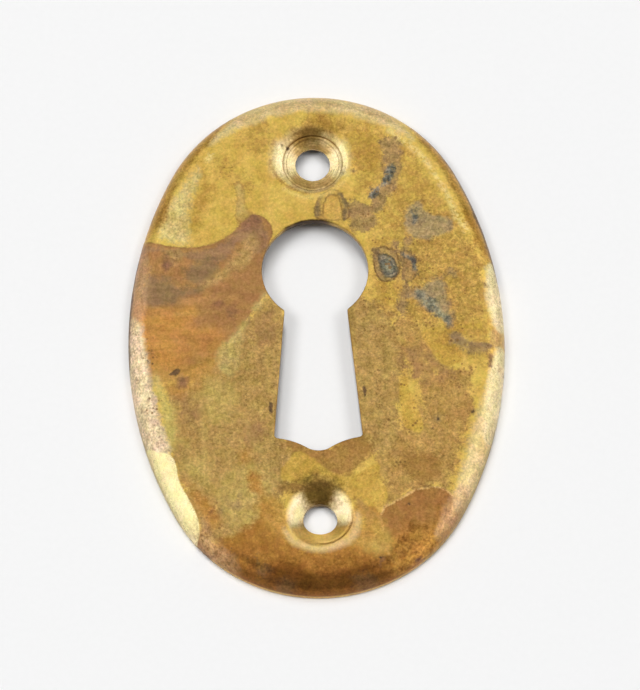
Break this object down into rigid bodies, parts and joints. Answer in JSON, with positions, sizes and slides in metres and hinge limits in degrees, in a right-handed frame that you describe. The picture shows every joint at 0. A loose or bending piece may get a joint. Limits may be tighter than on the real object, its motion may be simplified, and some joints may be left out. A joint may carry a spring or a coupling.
{
  "type": "keyhole escutcheon",
  "caption": "Oval keyhole escutcheon pressed from sheet brass, with a turned-down rim, a flared keyhole and dimpled screw holes above and below it.",
  "frame": {"origin": "centre of the oval, on the plane of the rim's foot that lies against the door or drawer", "axes": "+Z out of the face, towards the person with the key; +Y along the oval, towards the keyhole's round end; +X to the right, seen from the front"},
  "size_m": [0.0378, 0.054, 0.0026],
  "materials": {
    "tarnished_brass": "worn and unevenly tarnished sheet brass, golden where clean, with brown, coppery and blue-grey stains"
  },
  "bodies": {
    "root": {"escutcheon_plate": "tarnished_brass"}
  },
  "joints": []
}
